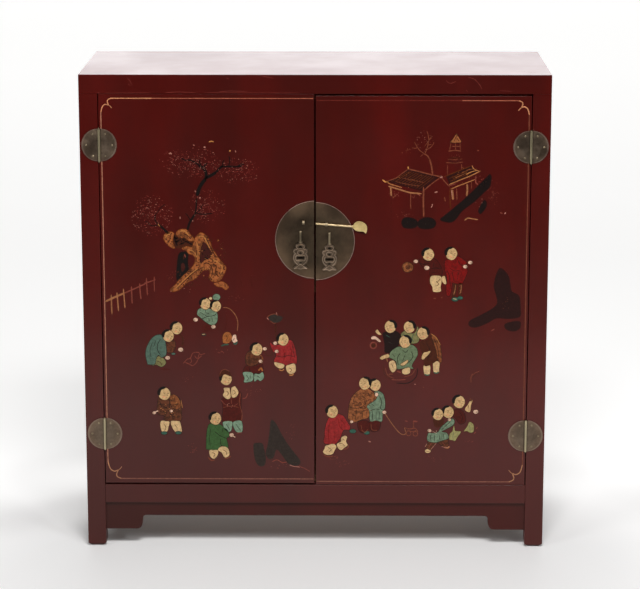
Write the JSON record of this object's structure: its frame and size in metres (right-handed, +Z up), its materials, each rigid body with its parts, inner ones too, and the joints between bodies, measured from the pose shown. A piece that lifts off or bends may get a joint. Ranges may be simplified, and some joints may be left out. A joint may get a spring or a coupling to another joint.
{
  "type": "two-door cupboard",
  "caption": "Low red lacquer cupboard on short square legs, with painted plank doors, round surface hinges, a split round face plate, drop pulls and a sliding lock bar.",
  "frame": {"origin": "on the floor, under the middle of the cupboard's outer box, hardware included", "axes": "+Z up, -Y the way the doors face, +X to the right of someone who faces the doors"},
  "size_m": [0.89, 0.358, 0.93],
  "materials": {
    "red_lacquer": "dark red lacquer, glossy with light wear, over wood",
    "inner_wood": "bare stained softwood inside the cupboard",
    "aged_brass": "dark aged brass sheet with brighter rubbed edges",
    "pale_brass": "pale worn brass, polished by handling"
  },
  "bodies": {
    "cabinet": {"post_front_left": "red_lacquer", "post_rear_left": "red_lacquer", "top_rail_left": "red_lacquer", "bottom_rail_left": "red_lacquer", "side_panel_left": "red_lacquer", "apron_left": "red_lacquer", "shelf_runner_left": "inner_wood", "post_front_right": "red_lacquer", "post_rear_right": "red_lacquer", "top_rail_right": "red_lacquer", "bottom_rail_right": "red_lacquer", "side_panel_right": "red_lacquer", "apron_right": "red_lacquer", "shelf_runner_right": "inner_wood", "top_rail_front": "red_lacquer", "top_rail_back": "red_lacquer", "top_panel": "red_lacquer", "bottom_rail_front": "red_lacquer", "bottom_rail_back": "red_lacquer", "floor_board": "inner_wood", "back_panel": "red_lacquer", "apron_front": "red_lacquer", "shelf": "inner_wood", "door_stop_top": "inner_wood", "door_stop_bottom": "inner_wood", "hinge_upper_left_frame_leaf": "aged_brass", "hinge_upper_left_pin": "aged_brass", "hinge_lower_left_frame_leaf": "aged_brass", "hinge_lower_left_pin": "aged_brass", "hinge_upper_right_frame_leaf": "aged_brass", "hinge_upper_right_pin": "aged_brass", "hinge_lower_right_frame_leaf": "aged_brass", "hinge_lower_right_pin": "aged_brass"},
    "left_door": {"door_left": "red_lacquer", "door_batten_upper_left": "inner_wood", "door_batten_lower_left": "inner_wood", "hinge_upper_left_door_leaf": "aged_brass", "hinge_lower_left_door_leaf": "aged_brass", "moon_plate_left": "aged_brass", "staple_left": "aged_brass", "pull_strap_left": "aged_brass"},
    "right_door": {"door_right": "red_lacquer", "door_batten_upper_right": "inner_wood", "door_batten_lower_right": "inner_wood", "hinge_upper_right_door_leaf": "aged_brass", "hinge_lower_right_door_leaf": "aged_brass", "moon_plate_right": "aged_brass", "staple_right": "aged_brass", "pull_strap_right": "aged_brass"},
    "left_pull": {"pull_left": "aged_brass"},
    "right_pull": {"pull_right": "aged_brass"},
    "lock_bar": {"lock_bar": "pale_brass"}
  },
  "joints": [
    {"name": "left_door_hinge", "type": "hinge", "parent": "cabinet", "child": "left_door", "pos_m": [-0.408, -0.17375, 0.5], "axis": [0, 0, -1], "range_deg": [0, 180]},
    {"name": "right_door_hinge", "type": "hinge", "parent": "cabinet", "child": "right_door", "pos_m": [0.408, -0.17375, 0.5], "axis": [0, 0, 1], "range_deg": [0, 180]},
    {"name": "left_pull_swing", "type": "hinge", "parent": "left_door", "child": "left_pull", "pos_m": [-0.0276, -0.175, 0.6099], "axis": [-1, 0, 0], "range_deg": [0, 95]},
    {"name": "right_pull_swing", "type": "hinge", "parent": "right_door", "child": "right_pull", "pos_m": [0.0276, -0.175, 0.6071], "axis": [-1, 0, 0], "range_deg": [0, 95]},
    {"name": "lock_bar_slide", "type": "slide", "parent": "right_door", "child": "lock_bar", "axis": [0.9968, 0, -0.0802], "range_m": [-0.0426, 0.012]}
  ]
}
